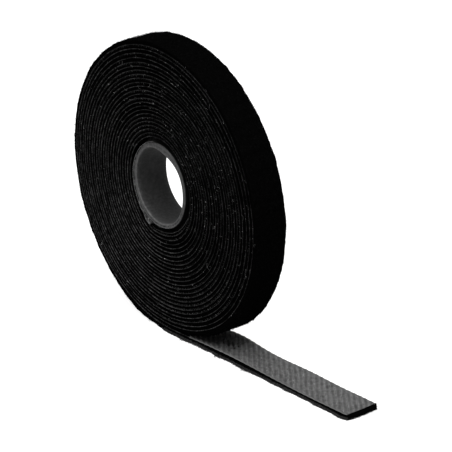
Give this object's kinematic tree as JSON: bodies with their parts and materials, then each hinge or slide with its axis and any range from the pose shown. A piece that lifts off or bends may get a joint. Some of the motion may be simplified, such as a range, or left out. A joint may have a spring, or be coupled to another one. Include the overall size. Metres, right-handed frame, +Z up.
{
  "type": "hook and loop tape roll",
  "caption": "Upright roll of narrow double-sided hook and loop tape wound on a small core tube, with its free end lying flat in front.",
  "frame": {"origin": "on the standing surface, straight below the roll's axis and halfway across the tape", "axes": "+X along the free end of the tape, away from the roll; +Y along the core's bore; +Z up"},
  "size_m": [0.1551, 0.013, 0.1098],
  "materials": {
    "core_board": "dull dark grey tube wall, faintly mottled",
    "strip_film": "dull grey sticky strip",
    "hook_nylon": "dark grey woven web with rows of fine hooks in a diagonal twill and a plain selvedge",
    "loop_nylon": "black brushed loop pile, soft and unreflective"
  },
  "bodies": {
    "roll": {"core_tube": "core_board", "start_strip": "strip_film", "hook_winding": "hook_nylon", "loop_winding": "loop_nylon"},
    "tail": {"hook_tail": "hook_nylon", "loop_tail": "loop_nylon"}
  },
  "joints": [
    {"name": "tail_lift", "type": "hinge", "parent": "roll", "child": "tail", "pos_m": [0.03815, 0, 0.00202], "axis": [0, -1, 0], "range_deg": [0, 60]}
  ]
}
